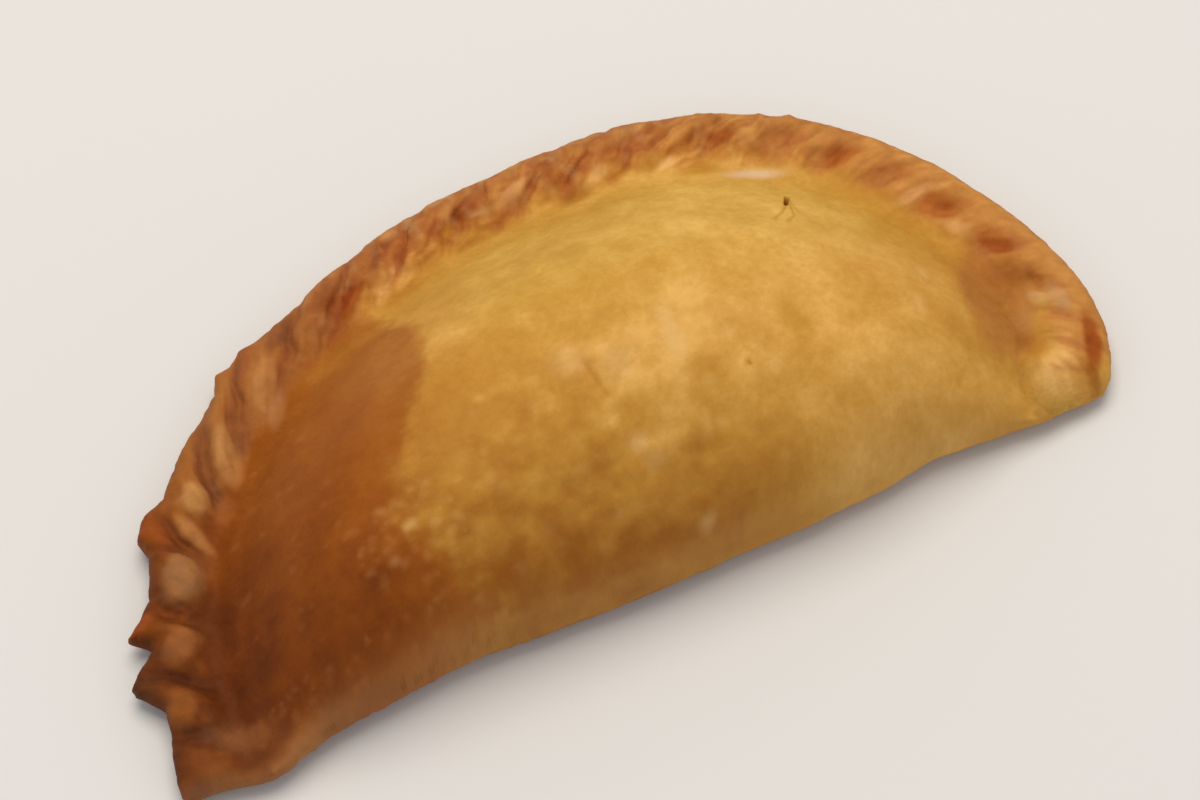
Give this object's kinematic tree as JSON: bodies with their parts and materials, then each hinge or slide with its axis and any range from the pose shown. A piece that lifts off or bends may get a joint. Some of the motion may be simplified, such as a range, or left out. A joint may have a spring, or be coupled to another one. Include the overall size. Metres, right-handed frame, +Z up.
{
  "type": "sweet empanada",
  "caption": "Half-moon baked pastry with a domed middle, a rounded folded edge and a rope-crimped rim.",
  "frame": {"origin": "middle of the bounding box, on the surface that the empanada rests on", "axes": "+X along the folded edge, from the sharper tip to the blunter one; +Y from the folded edge to the crimped rim; +Z up"},
  "size_m": [0.1482, 0.0726, 0.034],
  "materials": {
    "baked_crust": "dry baked shortcrust, golden on the dome and browned at both ends and along the crimps"
  },
  "bodies": {
    "root": {"empanada": "baked_crust"}
  },
  "joints": []
}
